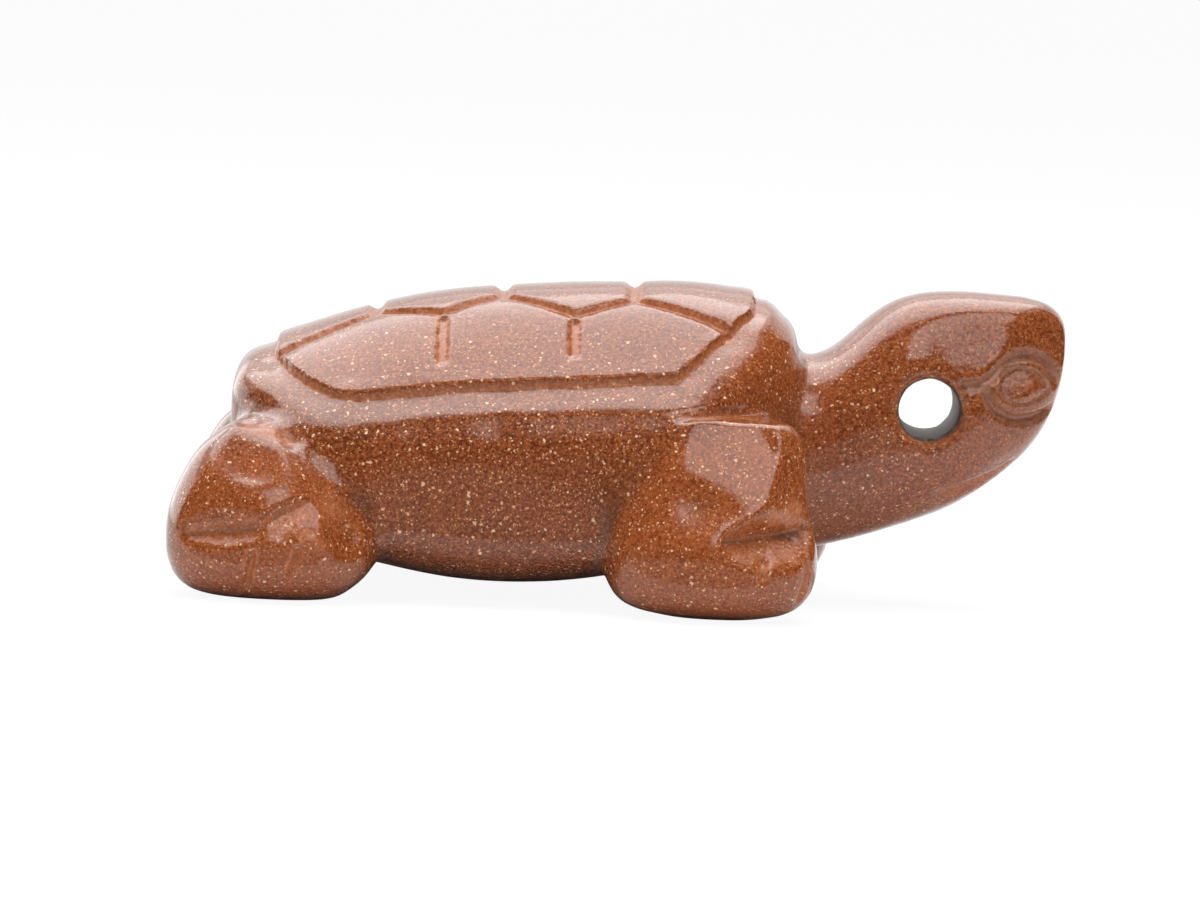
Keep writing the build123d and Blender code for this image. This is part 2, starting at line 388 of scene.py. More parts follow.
def spaced(route):
    """Evenly spaced points along a route that bends through its points."""
    route = np.array(route, dtype=float)
    if len(route) > 2:
        padded = np.vstack([2 * route[0] - route[1], route, 2 * route[-1] - route[-2]])
        t = np.linspace(0, 1, BEND_STEPS, endpoint=False)[:, None]
        runs = []
        for a, b, c, d in zip(padded, padded[1:], padded[2:], padded[3:]):
            runs.append(b + 0.5 * t * (c - a + t * (2 * a - 5 * b + 4 * c - d + t * (3 * b - a - 3 * c + d))))
        route = np.vstack(runs + [route[-1:]])
    length = np.concatenate([[0], np.cumsum(np.linalg.norm(np.diff(route, axis=0), axis=1))])
    places = np.linspace(0, length[-1], int(length[-1] / STROKE_STEP) + 2)
    return np.stack([np.interp(places, length, column) for column in route.T], axis=1)


def unit(vectors):
    return vectors / np.maximum(np.linalg.norm(vectors, axis=-1, keepdims=True), 1e-9)


def averaged(values, reach, closed=False):
    """Running mean along a route."""
    mode = "wrap" if closed else "edge"
    padded = np.pad(values, ((reach, reach), (0, 0)), mode=mode)
    return np.mean([padded[i : i + len(values)] for i in range(2 * reach + 1)], axis=0)


print("squares under the strokes", len(skin.polygons), "points to 10 mm", len(spaced([(0, 0), (10, 0)])))


# %% A stroke of the wheel
NORMAL_REACH, TANGENT_REACH = 4, 2


class Stroke:
    """One pass of a wheel over the skin, with its cross section and its chips."""

    def __init__(self, route, view, section, taper, chip, mirrored=False, lead=0.0):
        laid, facing = [], []
        side = 1 if mirrored else -1
        for first, second in spaced(route):
            if view == "plan":
                start, ray = Vector((first, second * -side, RAY_START)), Vector((0, 0, -1))
            else:
                start = Vector((first + lead * mirrored, side * RAY_START, second))
                ray = Vector((0, -side, 0))
            place, normal, _, _ = skin_tree.ray_cast(start, ray)
            if place is not None:
                laid.append(place)
                facing.append(normal)
        self.points = np.array(laid)
        self.normals = unit(averaged(np.array(facing), NORMAL_REACH))
        self.tangents = unit(averaged(np.gradient(self.points, axis=0), TANGENT_REACH))
        self.across = unit(np.cross(self.normals, self.tangents)) * (-1 if mirrored else 1)
        steps = np.linalg.norm(np.diff(self.points, axis=0), axis=1)
        self.arc = np.concatenate([[0], np.cumsum(steps)])
        self.offsets, self.depths = zip(*section)
        self.taper = taper
        self.chip = chip


def on_both_sides(route, view, section, **more):
    return [Stroke(route, view, section, mirrored=mirrored, **more) for mirrored in (False, True)]


print("a stroke's facing is averaged over, mm:", round((2 * NORMAL_REACH + 1) * STROKE_STEP, 2))

# %% What strokes do to the skin
CHIP_SIZE = 0.3
COARSE_CHIPS, FINE_CHIPS = 1.3, 0.9
FINE_CHIP_SHARE, FINE_CHIP_SHIFT = 0.4, 7.3
STROKE_MARGIN = 0.6
STROKE_OVERRUN = 0.1
STROKE_FACING = 0.1
SLOPE_STEP = 0.04
MATT_SLOPE = 1.6
MATT_DEPTH_SHARE = 0.75
POINTS_AT_ONCE = 4000


def chips(places, size):
    """Random numbers from about -1 to 1 that change over about a size in mm."""
    shifted = places / (FINE_CHIP_SHARE * size) + FINE_CHIP_SHIFT
    coarse = np.array([noise.noise(place) for place in (places / size).tolist()])
    fine = np.array([noise.noise(place) for place in shifted.tolist()])
    return COARSE_CHIPS * coarse + FINE_CHIPS * fine


def close_to(points, places, reach):
    """For points near some places: which points, and the nearest place of each."""
    low, high = places.min(axis=0) - reach, places.max(axis=0) + reach
    near = np.flatnonzero(((points > low) & (points < high)).all(axis=1))
    nearest = np.empty(len(near), dtype=int)
    for start in range(0, len(near), POINTS_AT_ONCE):
        part = points[near[start : start + POINTS_AT_ONCE]]
        square = (part**2).sum(axis=1)[:, None] + (places**2).sum(axis=1) - 2 * part @ places.T
        nearest[start : start + POINTS_AT_ONCE] = square.argmin(axis=1)
    kept = np.linalg.norm(points[near] - places[nearest], axis=1) < reach
    return near[kept], nearest[kept]


def cut(points, normals, strokes):
    """How far the strokes move each point, and how much of the wheel's finish it gets."""
    move = np.zeros_like(points)
    deepest = np.zeros(len(points))
    ground = np.zeros(len(points))
    for stroke in strokes:
        reach = max(abs(offset) for offset in stroke.offsets) + stroke.chip + STROKE_MARGIN
        near, nearest = close_to(points, stroke.points, reach)
        away = points[near] - stroke.points[nearest]
        along = stroke.arc[nearest] + (away * stroke.tangents[nearest]).sum(axis=1)
        offset = (away * stroke.across[nearest]).sum(axis=1)
        if stroke.chip:
            offset = offset + stroke.chip * chips(points[near], CHIP_SIZE)
        depth = np.interp(offset, stroke.offsets, stroke.depths, left=0, right=0)
        beside = np.interp(offset + SLOPE_STEP, stroke.offsets, stroke.depths, left=0, right=0)
        slope = np.abs(beside - depth) / SLOPE_STEP
        ends = soft_step(np.minimum(along, stroke.arc[-1] - along), -STROKE_OVERRUN, stroke.taper)
        depth *= ends
        depth *= (normals[near] * stroke.normals[nearest]).sum(axis=1) > STROKE_FACING
        more = np.abs(depth) > np.abs(deepest[near])
        chosen = near[more]
        deepest[chosen] = depth[more]
        move[chosen] = -depth[more, None] * stroke.normals[nearest[more]]
        depth_share = np.abs(depth) / max(np.abs(stroke.depths))
        finish = np.maximum(slope / MATT_SLOPE, MATT_DEPTH_SHARE * depth_share)
        ground[near] = np.maximum(ground[near], ends * np.clip(finish, 0, 1))
    return move, ground


print("chips reach", round(float(np.abs(chips(points[:: len(points) // 1000], CHIP_SIZE)).max()), 2))

# %% [markdown]
# ## The lines between the scutes
#
# Two zigzags part the middle row of scutes from the side ones. Short ribs run down from their hollows,
# and three short lines cross the ridge. On the photographed side the wheel leaned against the ridge,
# so the ridge side of each zigzag is a steep wall and the other side is a ramp.

# %% Scute strokes
ZIGZAG = ((-16.6, 4.1), (-12.0, 2.3), (-8.7, 3.7), (-5.95, 2.35), (-2.45, 4.55), (0.35, 3.3), (4.95, 5.45))
RIBS = ((-8.7, 3.9), (-2.45, 4.7))
RIB_END, RIB_LEAN = 7.1, 0.1
CROSS_LINES = ((-12.0, 2.3), (-5.95, 2.35), (0.35, 3.3))
ZIGZAG_SECTION = ((-0.52, 0.0), (-0.20, 0.12), (0.00, 0.27), (0.12, 0.28), (0.26, 0.05), (0.34, 0.0))
RIB_SECTION = ((-0.34, 0.0), (-0.24, 0.15), (-0.08, 0.22), (0.10, 0.21), (0.26, 0.12), (0.38, 0.0))
CROSS_SECTION = ((-0.46, 0.0), (-0.22, 0.24), (0.0, 0.32), (0.22, 0.24), (0.46, 0.0))

strokes = []
for start, end in zip(ZIGZAG, ZIGZAG[1:]):
    route = [(start[0], -start[1]), (end[0], -end[1])]
    strokes += on_both_sides(route, "plan", ZIGZAG_SECTION, taper=0.12, chip=0.06)
for x, y in RIBS:
    route = [(x, -y), (x + RIB_LEAN, -RIB_END)]
    strokes += on_both_sides(route, "plan", RIB_SECTION, taper=0.5, chip=0.05)
for x, y in CROSS_LINES:
    strokes.append(Stroke([(x, -y), (x, y)], "plan", CROSS_SECTION, taper=0.1, chip=0.03))
print("scute strokes", len(strokes))

# %% [markdown]
# ## The lines of the face and the legs
#
# The brow starts at the cord hole and runs over the eye. A second stroke rounds the eye from below, and
# a finer ledge leaves a four-sided eye between them. The mouth is one long stroke with a gentle upper
# side. On the feet a thin wheel parts the toes, and wide, soft strokes sink the folds of the thigh. One
# more runs above the arm, where it meets the shell, and leaves a matt, greyish crease.

# %% Face strokes
BROW = ((15.7, 11.2), (16.45, 11.1), (17.1, 11.25), (17.64, 11.6), (18.1, 12.1), (18.55, 12.45))
BROW += ((19.3, 12.66), (20.05, 12.45), (20.55, 11.85), (20.85, 11.1))
LOWER_LID = ((17.05, 11.1), (17.34, 10.8), (17.61, 10.32), (18.18, 9.82), (18.9, 9.55))
LOWER_LID += ((19.7, 9.6), (20.41, 9.9), (20.7, 10.3))
EYE = ((17.85, 11.0), (18.5, 11.55), (19.43, 12.05), (20.1, 11.6), (20.5, 11.0), (19.9, 10.5), (19.17, 10.26))
EYE += ((18.4, 10.5), (17.85, 11.0))
MOUTH = ((14.9, 5.75), (15.75, 5.98), (16.77, 6.29), (17.59, 6.63), (18.45, 7.05), (19.2, 7.7))
BORE_X, BORE_Z, BORE_RADIUS = 14.656, 9.902, 1.5
BORE_LINE_RADIUS, BORE_LINE_POINTS = 1.68, 40
BORE_TURNS = np.linspace(0, 2 * math.pi, BORE_LINE_POINTS)
BORE_LINE = BORE_LINE_RADIUS * np.stack([np.cos(BORE_TURNS), np.sin(BORE_TURNS)], axis=1) + (BORE_X, BORE_Z)
SOFT_LINE = ((-0.36, 0.0), (-0.20, 0.26), (0.06, 0.34), (0.22, 0.26), (0.32, 0.0))
LID_SECTION = ((-0.30, 0.0), (-0.18, 0.28), (0.0, 0.34), (0.18, 0.24), (0.34, 0.0))
EYE_SECTION = ((-0.06, 0.0), (0.02, 0.14), (0.16, 0.10), (0.34, 0.0))
MOUTH_SECTION = ((-0.8, 0.0), (-0.3, 0.15), (-0.02, 0.26), (0.12, 0.20), (0.24, 0.0))
BORE_SECTION = ((-0.10, 0.0), (-0.02, 0.04), (0.12, 0.16), (0.30, 0.22))

strokes += on_both_sides(BROW, "side", SOFT_LINE, taper=0.8, chip=0.02)
strokes += on_both_sides(LOWER_LID, "side", LID_SECTION, taper=0.5, chip=0.04)
strokes += on_both_sides(EYE[::-1], "side", EYE_SECTION, taper=0.05, chip=0.02)
strokes += on_both_sides(MOUTH, "side", MOUTH_SECTION, taper=1.2, chip=0.02)
strokes += on_both_sides(BORE_LINE, "side", BORE_SECTION, taper=-0.05, chip=0.13)
print("strokes with the face", len(strokes))

# %% Leg strokes
TOE_LINES = (
    ((7.15, 3.5), (6.95, 3.05), (6.85, 2.6), (7.1, 2.1)),
    ((8.85, 3.5), (9.0, 2.7), (8.9, 1.8), (8.6, 1.0)),
)
FOOT_CREST = ((-15.2, 3.35), (-14.3, 3.3), (-13.7, 2.85), (-13.3, 2.3))
THIGH_FOLD = ((-14.7, 5.05), (-13.8, 5.0), (-13.1, 4.55), (-12.0, 3.8))
THIGH_CREASE = ((-17.6, 8.3), (-16.7, 8.2), (-16.0, 7.9), (-15.4, 7.5), (-14.9, 7.15))
ARM_CREASE = ((1.9, 9.35), (2.6, 9.5), (3.6, 9.6), (5.0, 9.7), (6.3, 9.65))
HIND_TOES = (
    ((-16.8, 2.75), (-16.88, 2.1), (-17.0, 1.4), (-17.1, 0.6)),
    ((-14.6, 3.0), (-14.75, 2.3), (-15.0, 1.7), (-15.3, 1.3)),
)
TOE_SECTION = ((-0.34, 0.0), (-0.05, 0.26), (0.10, 0.24), (0.30, 0.0))
NICK_SECTION = ((-0.34, 0.0), (-0.05, 0.34), (0.06, 0.32), (0.28, 0.0))
CREASE_SECTION = ((-0.5, 0.0), (-0.14, 0.24), (0.10, 0.27), (0.40, 0.0))
FOLD_SECTION = ((-0.9, 0.0), (-0.2, 0.26), (0.2, 0.28), (0.8, 0.0))
CREST_SECTION = ((-0.5, 0.0), (0.0, -0.14), (0.5, 0.0))

for line in TOE_LINES:
    strokes += on_both_sides(line, "side", TOE_SECTION, taper=0.5, chip=0.03, lead=LEFT_FOOT_LEAD)
strokes += on_both_sides(FOOT_CREST, "side", CREST_SECTION, taper=0.8, chip=0.0)
strokes += on_both_sides(THIGH_FOLD, "side", FOLD_SECTION, taper=1.8, chip=0.0)
strokes += on_both_sides(THIGH_CREASE, "side", FOLD_SECTION, taper=0.8, chip=0.0)
strokes += on_both_sides(ARM_CREASE, "side", CREASE_SECTION, taper=1.8, chip=0.07, lead=LEFT_FOOT_LEAD)
for line in HIND_TOES:
    strokes += on_both_sides(line, "side", NICK_SECTION, taper=0.5, chip=0.02)
print("strokes", len(strokes))

# %% [markdown]
# ## Notches
#
# Where a leg bends, the carver leaned a square wheel into the glass. It leaves a notch with two flat
# faces that meet in a line: the top of the foot below and the underside of the leg above. Each notch is
# given by the two ends of that line, a point on the lower face and a point on the upper one. Tumbling
# grit hardly gets in, so the faces keep some of the matt, pale finish of the wheel.

# %% Notches at the wrist and the ankle
WRIST_NOTCH = ((5.0, -11.6, 3.9), (8.6, -9.3, 4.4), (5.67, -12.42, 2.95), (6.48, -11.85, 5.50))
ANKLE_NOTCH = ((-17.5, -12.50, 3.30), (-14.5, -11.42, 4.85), (-15.9, -12.45, 3.05), (-15.9, -12.25, 4.95))
REAR_NOTCH = ((-19.9, -11.0, 3.05), (-16.7, -11.85, 3.5), (-18.06, -12.23, 2.64), (-18.33, -11.99, 4.35))
NOTCH_CHIP = 0.04
NOTCH_ENDS = 0.6
NOTCH_DEPTHS = (-0.3, 2.0)
NOTCH_FINISH = 0.5
NOTCH_FINISH_DEPTHS = (0.05, 0.35)
# Spots on the wrist facet, each a place and a radius. They are painted pale as a highlight in place of a
# reflection.
WRIST_PAINTED_HIGHLIGHTS = (((8.3, -10.1, 5.2), 1.0), ((7.5, -11.0, 5.0), 0.7))


def notched(points, normals, notch, mirrored, lead):
    """How far each point in a notch moves to reach the notch's faces, and how matt it is left."""
    start, end, low, high = on_left(notch, lead) if mirrored else np.array(notch)
    length = np.linalg.norm(end - start)
    run = (end - start) / length
    outward = unit(np.cross(run, (0, 0, 1.0)))
    outward = outward * (1 if (outward[1] > 0) == mirrored else -1)
    away = points - start
    depths = []
    for corner in (low, high):
        face = unit(np.cross(end - start, corner - start))
        face = face * np.sign(face @ outward)
        depths.append((away @ face) / (face @ outward))
    depth = np.minimum(*depths)
    along = away @ run
    inside = (depth > NOTCH_DEPTHS[0]) & (depth < NOTCH_DEPTHS[1])
    inside &= (along > -NOTCH_ENDS) & (along < length + NOTCH_ENDS)
    inside &= normals @ outward > 0.0
    near = np.flatnonzero(inside)
    depth = depth[near] + NOTCH_CHIP * chips(points[near], CHIP_SIZE)
    ends = soft_step(np.minimum(along[near], length - along[near]), -NOTCH_ENDS, 0.0)
    move = np.zeros_like(points)
    move[near] = -(np.clip(depth, 0, None) * ends)[:, None] * outward
    ground = np.zeros(len(points))
    ground[near] = NOTCH_FINISH * soft_step(depth, *NOTCH_FINISH_DEPTHS) * ends
    return move, ground


NOTCHES = ((WRIST_NOTCH, LEFT_FOOT_LEAD), (ANKLE_NOTCH, 0.0), (REAR_NOTCH, 0.0))
print("notches", 2 * len(NOTCHES))

# %% [markdown]
# ## The rim line
#
# The field of scutes stands above the rim like a low table. A wheel run round its foot left a steep
# wall and a shallow, level channel at its foot. The solid has this step too, but softened by the
# remesh, so its heights are set again from the solid's own roof: a ray finds the roof a little inside
# the line, and the cross section is measured down from there. Further out, along the straight sides, a
# second facet was ground along the shoulder. It turns the surface away from the pale ceiling, so the
# pale band under the rim ends in a clear line.

# %% The rim's route and cross section
RIM_HALF = ((-16.65, 0.0), (-16.6, 3.4), (-16.0, 5.2), (-14.9, 6.65), (-13.4, 7.75), (-12.2, 7.98))
RIM_HALF += ((-6.0, 8.0), (1.6, 7.98), (2.75, 7.72), (4.1, 6.35), (5.4, 4.65), (6.0, 3.3), (6.05, 0.0))
RIM_LOOK_IN = 1.0
RIM_PROFILE = (
    (-1.0, 0.0), (-0.20, 0.0), (-0.06, -0.02), (0.00, -0.07), (0.06, -0.28), (0.12, -0.36), (0.20, -0.38),
    (0.50, -0.38), (0.90, -0.365), (1.5, -0.34),
)
RIM_KEPT = ((-1.0, 0.0), (-0.6, 1.0), (0.7, 1.0), (1.5, 0.0))
RIM_MATT = ((-0.02, 0.0), (0.06, 1.0), (0.15, 0.8), (0.32, 0.0))
RIM_CHIP, RIM_CHIP_SIZE = 0.05, 0.35
RIM_REACH = 1.9
RIM_FACING = -0.2
RIM_MEDIAN_REACH, RIM_MEAN_REACH, RIM_HEADING_REACH = 14, 6, 4

loop = [(x, -y) for x, y in RIM_HALF] + [(x, y) for x, y in RIM_HALF[-2::-1]]
rim_plan = spaced(loop)[:-1]
rim_heading = np.roll(rim_plan, -1, axis=0) - np.roll(rim_plan, 1, axis=0)
rim_heading = unit(averaged(rim_heading, RIM_HEADING_REACH, closed=True))
rim_inward = np.stack([-rim_heading[:, 1], rim_heading[:, 0]], axis=1)
solid_tree = BVHTree.FromPolygons(
    [vertex.co[:] for vertex in solid_mesh.vertices], [list(face.vertices) for face in solid_mesh.polygons]
)
rim_heights, rim_normals = [], []
for (x, y), (in_x, in_y) in zip(rim_plan, rim_inward):
    start = Vector((x + RIM_LOOK_IN * in_x, y + RIM_LOOK_IN * in_y, RAY_START))
    place, normal, _, _ = solid_tree.ray_cast(start, Vector((0, 0, -1)))
    rise = (normal.x * in_x + normal.y * in_y) / normal.z
    rim_heights.append(place.z + rise * RIM_LOOK_IN)
    rim_normals.append(normal)


def middle_value(values, reach):
    """Running median round a loop."""
    padded = np.pad(values, ((reach, reach), (0, 0)), mode="wrap")
    return np.median([padded[i : i + len(values)] for i in range(2 * reach + 1)], axis=0)


rim_heights = middle_value(np.array(rim_heights)[:, None], RIM_MEDIAN_REACH)
rim_heights = averaged(rim_heights, RIM_MEAN_REACH, closed=True)
rim_normals = middle_value(np.array(rim_normals), RIM_MEDIAN_REACH)
rim_normals = unit(averaged(rim_normals, RIM_MEAN_REACH, closed=True))
rim_points = np.hstack([rim_plan, rim_heights])
rim_tangents = unit(np.roll(rim_points, -1, axis=0) - np.roll(rim_points, 1, axis=0))
rim_outward = unit(np.cross(rim_tangents, rim_normals))
print("rim line, mm:", round(float(np.linalg.norm(np.diff(rim_points, axis=0), axis=1).sum()), 1))


# %% The shoulder and the rim
SHOULDER = ((1.2, -0.18), (1.6, -0.28), (2.4, -0.47), (3.1, -0.66), (3.6, -0.80))
SHOULDER_KEPT = ((1.2, 0.0), (1.5, 1.0), (3.0, 1.0), (3.6, 0.0))
SHOULDER_REAR, SHOULDER_FRONT = -13.0, 2.2
SHOULDER_DEPTH = 0.3


def around_rim(points, reach):
    """For points near the rim line: which, its nearest place, and how far outside and above they are."""
    near, nearest = close_to(points, rim_points, reach)
    away = points[near] - rim_points[nearest]
    offset = (away * rim_outward[nearest]).sum(axis=1)
    height = (away * rim_normals[nearest]).sum(axis=1)
    return near, nearest, offset, height


def shoulder_cut(points):
    """Grinds the facet along the shell's shoulder: how far each point moves."""
    near, nearest, offset, height = around_rim(points, SHOULDER[-1][0])
    weight = np.interp(offset, *zip(*SHOULDER_KEPT), left=0, right=0)
    weight *= soft_step(points[near, 0], SHOULDER_REAR - 1, SHOULDER_REAR + 1)
    weight *= 1 - soft_step(points[near, 0], SHOULDER_FRONT - 1, SHOULDER_FRONT + 1)
    proud = np.clip(height - np.interp(offset, *zip(*SHOULDER)), 0, SHOULDER_DEPTH)
    move = np.zeros_like(points)
    move[near] = -(weight * proud)[:, None] * rim_normals[nearest]
    return move


def rim_cut(points, normals):
    """How far the rim's cross section moves each point, and how matt its wall is left."""
    near, nearest, offset, height = around_rim(points, RIM_REACH)
    chipped = offset + RIM_CHIP * chips(points[near], RIM_CHIP_SIZE)
    target = np.interp(chipped, *zip(*RIM_PROFILE))
    weight = np.interp(offset, *zip(*RIM_KEPT), left=0, right=0)
    weight *= (normals[near] * rim_normals[nearest]).sum(axis=1) > RIM_FACING
    move = np.zeros_like(points)
    move[near] = (weight * (target - height))[:, None] * rim_normals[nearest]
    ground = np.zeros(len(points))
    ground[near] = np.interp(chipped, *zip(*RIM_MATT)) * weight
    return move, ground


shoulder_move = shoulder_cut(points)
points = points + shoulder_move
move_to(skin, points)
print("shoulder, deepest cut, mm:", round(float(np.linalg.norm(shoulder_move, axis=1).max()), 2))

# %% [markdown]
# ## Finer squares where the wheel went
#
# A stroke half a millimetre wide needs points closer together than the plain skin has. Squares near the
# strokes are cut in four, and the ones nearest the lines in four again.


# %% Finer squares
LINE_REACH, FINE_REACH = 0.85, 0.30
SMOOTH_CHIP = 0.015
EVENING_SHARE = 0.3


def refine(mesh, places, reach):
    """Cuts the edges near some places in two."""
    tree = kdtree.KDTree(len(places))
    for index, place in enumerate(places):
        tree.insert(place, index)
    tree.balance()
    near = [tree.find(vertex.co)[2] < reach for vertex in mesh.vertices]
    work = bmesh.new()
    work.from_mesh(mesh)
    chosen = [edge for edge in work.edges if near[edge.verts[0].index] and near[edge.verts[1].index]]
    bmesh.ops.subdivide_edges(work, edges=chosen, cuts=1, use_grid_fill=True)
    work.to_mesh(mesh)
    work.free()


line_places = [stroke.points for stroke in strokes] + [rim_points]
for notch, lead in NOTCHES:
    right = spaced(notch[:3])
    line_places += [right, on_left(right, lead)]
fine_places = [stroke.points for stroke in strokes if stroke.chip > SMOOTH_CHIP] + [rim_points]
refine(skin, np.vstack(line_places), LINE_REACH)
move_to(skin, drifted(points_of(skin), edges_of(skin), EVENING_SHARE, 1))
refine(skin, np.vstack(fine_places), FINE_REACH)
print("points after refining", len(skin.vertices))

# %% Cutting the rim, the notches and the lines
SPOT_CHIP, SPOT_CHIP_SIZE = 0.15, 0.5
SPOT_HIGHLIGHT_SHARE, SPOT_CORE_SHARE = 0.8, 0.55
LAST_SHARE, LAST_ROUNDS = 0.35, 2
EYE_PLACE = (18.95, -2.85, 11.2)
EYE_FACING = (0.205, -0.94, 0.31)
EYE_FLAT = (0.27, 1.15, 0.3)
EYE_POLISHED = (0.5, 0.8)

points = points_of(skin)
edges = edges_of(skin)
rim_move, rim_ground = rim_cut(points, normals_of(skin))
points = points + rim_move
move_to(skin, points)
normals = normals_of(skin)
notch_ground_and_highlight = np.zeros(len(points))
for notch, lead in NOTCHES:
    for mirrored in (False, True):
        notch_move, notch_matt = notched(points, normals, notch, mirrored, lead)
        points = points + notch_move
        notch_ground_and_highlight = np.maximum(notch_ground_and_highlight, notch_matt)
spot_chips = SPOT_CHIP * chips(points, SPOT_CHIP_SIZE)
# Two spots on each wrist facet get the pale, rough ground finish as a painted highlight, in place of a pale
# reflection.
for spot, reach in WRIST_PAINTED_HIGHLIGHTS:
    for place in (spot, on_left(spot, LEFT_FOOT_LEAD)):
        away = np.linalg.norm(points - place, axis=1) + spot_chips
        inside = 1 - soft_step(away, SPOT_CORE_SHARE * reach, reach)
        notch_ground_and_highlight = np.maximum(notch_ground_and_highlight, SPOT_HIGHLIGHT_SHARE * inside)
move_to(skin, points)
line_move, line_ground = cut(points, normals_of(skin), strokes)
points = drifted(points + line_move, edges, LAST_SHARE, LAST_ROUNDS)
ground = np.maximum(np.maximum(rim_ground, line_ground), notch_ground_and_highlight)
for eye, facing in ((EYE_PLACE, EYE_FACING), (on_left(EYE_PLACE), on_left(EYE_FACING))):
    points = ground_flat(points, eye, facing, *EYE_FLAT)
    ground *= soft_step(np.linalg.norm(points - eye, axis=1), *EYE_POLISHED)
print("points left matt", int((ground > 0.5).sum()))

# %% [markdown]
# ## The last of the tumbling
#
# A hand-ground surface is never quite even. A slow wobble of a few hundredths of a millimetre bends the
# reflections the way the real one's do. The soles are left flat, and nothing grows past the solid's box.
#
# Four numbers are stored at every point for the finish. One says where a wheel left the glass matt.
# One makes the glass lighter and warmer: in the feet, and as painted light on the front and the roof,
# where more light falls. One says where the crystals are too fine to sparkle, on the face and along
# the ridge. The last finds the folds, where the skin would drift outwards if it were worn down much
# further. There the colour is darkened as painted shade, where shade falls in the creases, and the glass is
# made rougher.

# %% Wobble and soles
WOBBLE_MM = 0.02
WOBBLE_SIZE = 2.6
SOLE_HEIGHTS = (0.2, 1.5)

normals = normals_of(skin)
wobble = np.array([noise.noise(place) for place in (points / WOBBLE_SIZE).tolist()])
wobble *= WOBBLE_MM * soft_step(points[:, 2], *SOLE_HEIGHTS)
box_low, box_high = np.array(cad_box) / MM
points = np.clip(points + wobble[:, None] * normals, box_low, box_high)
move_to(skin, points)
triangles = sum(len(face.vertices) - 2 for face in skin.polygons)
print("triangles", triangles, "size, mm:", np.ptp(points, axis=0).round(2))

# %% Four numbers for the finish
FOLD_ROUNDS = 60
FOLD_DEPTHS = (0.015, 0.15)
FOLD_HEIGHTS = (1.2, 2.2)
ARM_FOLD_HEIGHTS, ARM_FOLD_LOSS = (4.0, 6.5), 0.65
LEG_SIDES, LEG_TOP = (9.6, 10.8), 9.0
FRONT_FROM, FRONT_FADES, FRONT_LOSS = (3.5, 6.5), (8.5, 12.0), 0.5
ROOF_HEIGHTS, ROOF_PAINTED_LIGHT = (8.8, 10.5), 0.45
FACE_FROM, RIDGE_HEIGHTS = (13.0, 16.5), (11.8, 14.2)

x, y, z = points.T
# Painted shade: the creases and folds, where shade falls, are found here and later get a darker colour.
sunk = ((drifted(points, edges, DRIFT_SHARE, FOLD_ROUNDS) - points) * normals).sum(axis=1)
fold = soft_step(sunk, *FOLD_DEPTHS) * soft_step(z, *FOLD_HEIGHTS)
fold = np.maximum(fold - ground, 0) * (1 - ARM_FOLD_LOSS * soft_step(z, *ARM_FOLD_HEIGHTS))
in_front = soft_step(x, *FRONT_FROM)
# The feet get lighter, warmer glass. The front and the roof get the same as painted light, lighter where more
# light falls.
warmth = soft_step(np.abs(y), *LEG_SIDES) * soft_step(LEG_TOP - z, -0.5, 0.5)
warmth = np.maximum(warmth, in_front * (1 - FRONT_LOSS * soft_step(x, *FRONT_FADES)))
warmth = np.maximum(warmth, ROOF_PAINTED_LIGHT * soft_step(z, *ROOF_HEIGHTS) * (1 - in_front))
quiet = np.maximum(soft_step(x, *FACE_FROM), soft_step(z, *RIDGE_HEIGHTS))
for name, values in (("ground", ground), ("warmth", warmth), ("fold", fold), ("quiet", quiet)):
    skin.attributes.new(name, "FLOAT", "POINT").data.foreach_set("value", values.astype(np.float32))
    print(name, "on", int((values > 0.5).sum()), "points")

# %% Hand over the piece
turtle = bpy.data.objects.new("polished_turtle", skin)
collection.objects.link(turtle)
skin.transform(Matrix.Scale(MM, 4))
skin.shade_smooth()
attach(turtle, "root")
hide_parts("carved_turtle")
print("piece", turtle.name)

# %% [markdown]
# ## Copper-fleck glass
#
# This glass is melted with copper and cooled slowly with the air kept out, until the copper comes out
# as tiny flat crystals. The ones near the skin are sharp bright dots. Deeper down they blur into a
# warm grain, because the glass between is brown. So the colour is built the same way: a grain of noise
# for the depth, then fine dots, then larger and rarer ones. A cell pattern gives each dot its own size
# and chance, and a little noise bends the cells so that no dot is a perfect circle.
#
# The melt was stirred before it set, and its bands still show. A slow noise folded back and forth makes
# lines that curl like them, and more dots show along those lines.
#
# The finish follows the work. Strokes and notches are paler and rougher. The folds are rougher and
# darkened with painted shade, and the drilled hole is dark grey inside, partly its matt wall and partly
# painted shade. The polish itself is a thin clear coat over a softer shine, which gives a reflection a
# sharp edge with a little haze round it.

# %% Noise and flecks
glass = bpy.data.materials.new("copper_fleck_glass")
tree = Tree(glass)
place = tree.node("TexCoord", {}, {}, output="Object")
BEND_SIZE, BEND_REACH = 0.22, 0.26
LEAST_SIZE, SIZE_RANGE = 0.5, 0.7


def cloudy(scale_mm, detail=2.0, roughness=0.5, distortion=0.0):
    inputs = {
        "Vector": place,
        "Scale": 1 / (scale_mm * MM),
        "Detail": detail,
        "Roughness": roughness,
        "Distortion": distortion,
    }
    return tree.node("TexNoise", {}, inputs)


def flecks(cell_mm, radius_share, soft_share, where):
    """Flecks, at most one to a cell: their mask and a random number for each."""
    inputs = {"Vector": where, "Scale": 1 / (cell_mm * MM), "Randomness": 1.0}
    distance = tree.node("TexVoronoi", {}, inputs)
    tint = Wire(tree, distance.socket.node.outputs["Color"])
    parts = tree.node("SeparateColor", {}, [tint])
    size = Wire(tree, parts.socket.node.outputs[0]) * SIZE_RANGE + LEAST_SIZE
    chance = Wire(tree, parts.socket.node.outputs[1])
    edge = size * radius_share
    mask = 1 - tree.step(distance, edge - soft_share, edge + soft_share)
    return mask, chance


